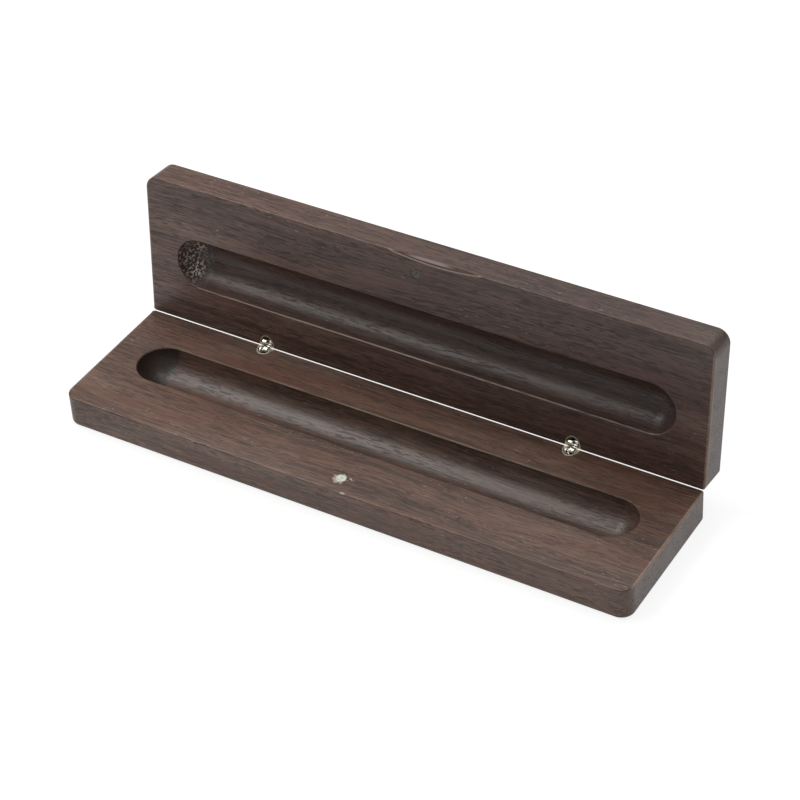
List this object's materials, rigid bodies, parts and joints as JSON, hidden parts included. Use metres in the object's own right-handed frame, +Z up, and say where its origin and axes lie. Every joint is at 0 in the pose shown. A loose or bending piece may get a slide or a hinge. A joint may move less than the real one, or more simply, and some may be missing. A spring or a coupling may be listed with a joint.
{
  "type": "fountain pen case",
  "caption": "Walnut pen case of two routed halves on concealed barrel hinges, standing open, with a round-bottomed pen groove and a disc magnet in each half.",
  "frame": {"origin": "middle of the base's underside, on the surface that the case stands on", "axes": "+X to the right along the case's length and the hinge edge, +Y from the front to the hinge edge, +Z up"},
  "size_m": [0.18, 0.0598, 0.0554],
  "materials": {
    "walnut": "oiled black walnut, fine straight grain along the length",
    "hinge_plating": "turned brass with a thin pale nickel plating, bright",
    "hinge_steel": "polished steel links, pins and rivet",
    "magnet_plating": "nickel-plated disc magnet, scuffed"
  },
  "bodies": {
    "base": {"base_half": "walnut", "base_magnet": "magnet_plating", "left_base_barrel": "hinge_plating", "left_base_pin": "hinge_steel", "right_base_barrel": "hinge_plating", "right_base_pin": "hinge_steel"},
    "lid": {"lid_half": "walnut", "lid_magnet": "magnet_plating", "left_lid_barrel": "hinge_plating", "left_lid_pin": "hinge_steel", "right_lid_barrel": "hinge_plating", "right_lid_pin": "hinge_steel"},
    "left_base_link": {"left_base_link": "hinge_steel", "left_rivet": "hinge_steel"},
    "left_lid_link": {"left_lid_link": "hinge_steel"},
    "right_base_link": {"right_base_link": "hinge_steel", "right_rivet": "hinge_steel"},
    "right_lid_link": {"right_lid_link": "hinge_steel"}
  },
  "joints": [
    {"name": "lid_hinge", "type": "hinge", "parent": "base", "child": "lid", "pos_m": [0, 0.02285, 0.01002], "axis": [1, 0, 0], "range_deg": [0, 95.5]},
    {"name": "left_base_link_pivot", "type": "hinge", "parent": "base", "child": "left_base_link", "pos_m": [-0.05, 0.02184, 0.00911], "axis": [1, 0, 0], "range_deg": [0, 95.5]},
    {"name": "left_lid_link_pivot", "type": "hinge", "parent": "lid", "child": "left_lid_link", "pos_m": [-0.05, 0.02386, 0.01094], "axis": [1, 0, 0], "range_deg": [-95.5, 0]},
    {"name": "right_base_link_pivot", "type": "hinge", "parent": "base", "child": "right_base_link", "pos_m": [0.05, 0.02184, 0.00911], "axis": [1, 0, 0], "range_deg": [0, 95.5]},
    {"name": "right_lid_link_pivot", "type": "hinge", "parent": "lid", "child": "right_lid_link", "pos_m": [0.05, 0.02386, 0.01094], "axis": [1, 0, 0], "range_deg": [-95.5, 0]}
  ],
  "couplings": [
    {"joint": "left_base_link_pivot", "follows": "lid_hinge", "ratio": 1},
    {"joint": "left_lid_link_pivot", "follows": "lid_hinge", "ratio": -1},
    {"joint": "right_base_link_pivot", "follows": "lid_hinge", "ratio": 1},
    {"joint": "right_lid_link_pivot", "follows": "lid_hinge", "ratio": -1}
  ]
}
